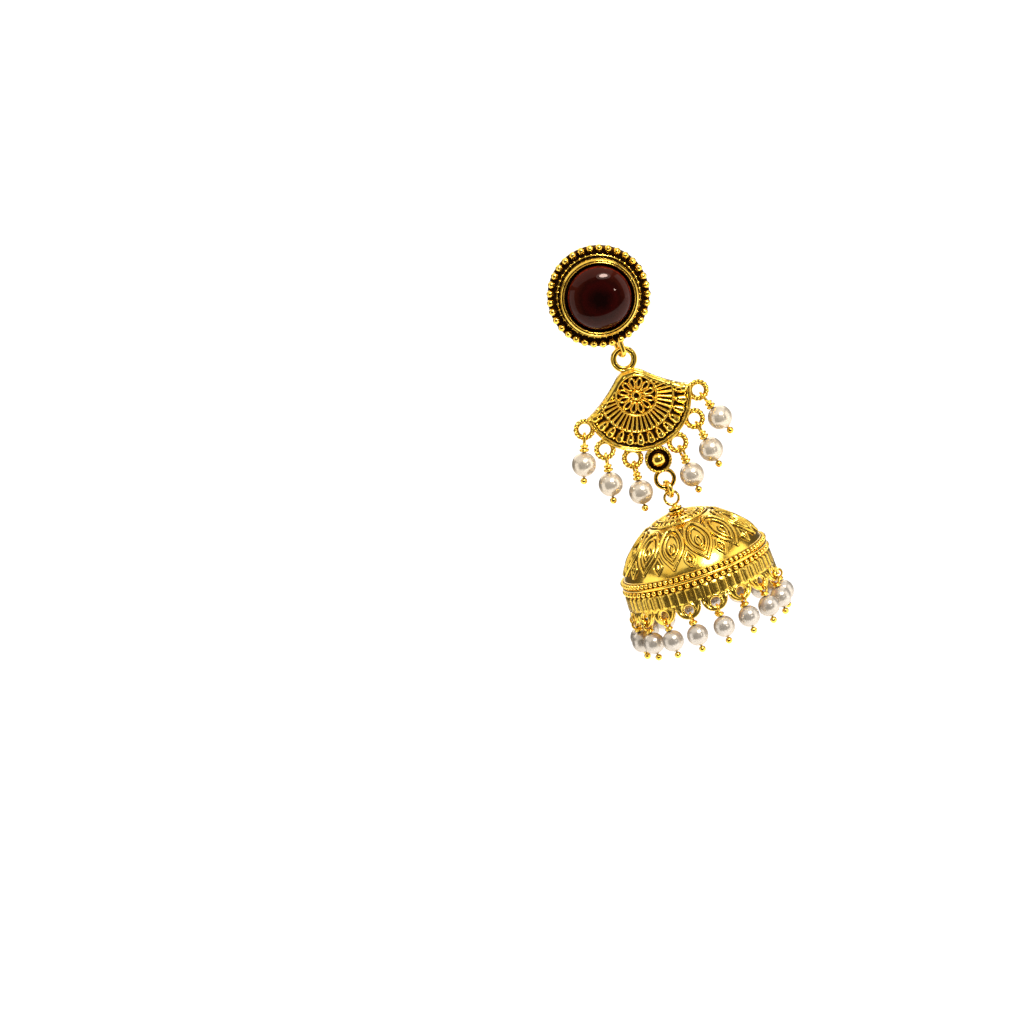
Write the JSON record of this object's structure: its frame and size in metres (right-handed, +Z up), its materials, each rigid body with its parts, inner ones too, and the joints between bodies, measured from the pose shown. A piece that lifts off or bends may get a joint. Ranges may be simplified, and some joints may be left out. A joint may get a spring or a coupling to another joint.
{
  "type": "jhumka earring",
  "caption": "Hanging earring: round beaded stud with a domed red stone, fan-shaped relief plate and a hollow bell, both fringed with pearl drops on head pins.",
  "frame": {"origin": "on the ear post's axis, at the back face of the stud's disc", "axes": "+Z up, +Y along the ear post away from the front, so the ornament faces -Y"},
  "size_m": [0.0345, 0.0347, 0.0838],
  "materials": {
    "antique_gold": "antique gold plate, polished on the high points and dark in the recesses",
    "garnet": "polished dark red cabochon",
    "fan_pearl": "cream pearl lustre",
    "bell_pearl": "pale pearl lustre"
  },
  "bodies": {
    "stud": {"stud_setting": "antique_gold", "garnet_cabochon": "garnet"},
    "upper_link": {"upper_link": "antique_gold"},
    "fan": {"fan_plate": "antique_gold", "fan_pearl_1": "fan_pearl", "fan_pearl_2": "fan_pearl", "fan_pearl_3": "fan_pearl", "fan_pearl_4": "fan_pearl", "fan_pearl_5": "fan_pearl", "fan_pearl_6": "fan_pearl", "fan_pin_1": "antique_gold", "fan_pin_2": "antique_gold", "fan_pin_3": "antique_gold", "fan_pin_4": "antique_gold", "fan_pin_5": "antique_gold", "fan_pin_6": "antique_gold"},
    "lower_link": {"lower_link": "antique_gold"},
    "bell": {"dome": "antique_gold", "dome_pearl_01": "bell_pearl", "dome_pearl_02": "bell_pearl", "dome_pearl_03": "bell_pearl", "dome_pearl_04": "bell_pearl", "dome_pearl_05": "bell_pearl", "dome_pearl_06": "bell_pearl", "dome_pearl_07": "bell_pearl", "dome_pearl_08": "bell_pearl", "dome_pearl_09": "bell_pearl", "dome_pearl_10": "bell_pearl", "dome_pearl_11": "bell_pearl", "dome_pearl_12": "bell_pearl", "dome_pearl_13": "bell_pearl", "dome_pearl_14": "bell_pearl", "dome_pearl_15": "bell_pearl", "dome_pearl_16": "bell_pearl", "dome_pearl_17": "bell_pearl", "dome_pin_01": "antique_gold", "dome_pin_02": "antique_gold", "dome_pin_03": "antique_gold", "dome_pin_04": "antique_gold", "dome_pin_05": "antique_gold", "dome_pin_06": "antique_gold", "dome_pin_07": "antique_gold", "dome_pin_08": "antique_gold", "dome_pin_09": "antique_gold", "dome_pin_10": "antique_gold", "dome_pin_11": "antique_gold", "dome_pin_12": "antique_gold", "dome_pin_13": "antique_gold", "dome_pin_14": "antique_gold", "dome_pin_15": "antique_gold", "dome_pin_16": "antique_gold", "dome_pin_17": "antique_gold"}
  },
  "joints": [
    {"name": "upper_link_swing", "type": "hinge", "parent": "stud", "child": "upper_link", "pos_m": [0.0007, 0.0021, -0.0089], "axis": [1, 0, 0], "range_deg": [-25, 40]},
    {"name": "fan_swing", "type": "hinge", "parent": "upper_link", "child": "fan", "pos_m": [0.0007, 0.0021, -0.01345], "axis": [0, 1, 0], "range_deg": [-35, 35]},
    {"name": "lower_link_swing", "type": "hinge", "parent": "fan", "child": "lower_link", "pos_m": [0.0007, 0.0021, -0.04185], "axis": [1, 0, 0], "range_deg": [-35, 35]},
    {"name": "bell_swing", "type": "hinge", "parent": "lower_link", "child": "bell", "pos_m": [0.0007, 0.0021, -0.04365], "axis": [0, 1, 0], "range_deg": [-28, 28]}
  ]
}
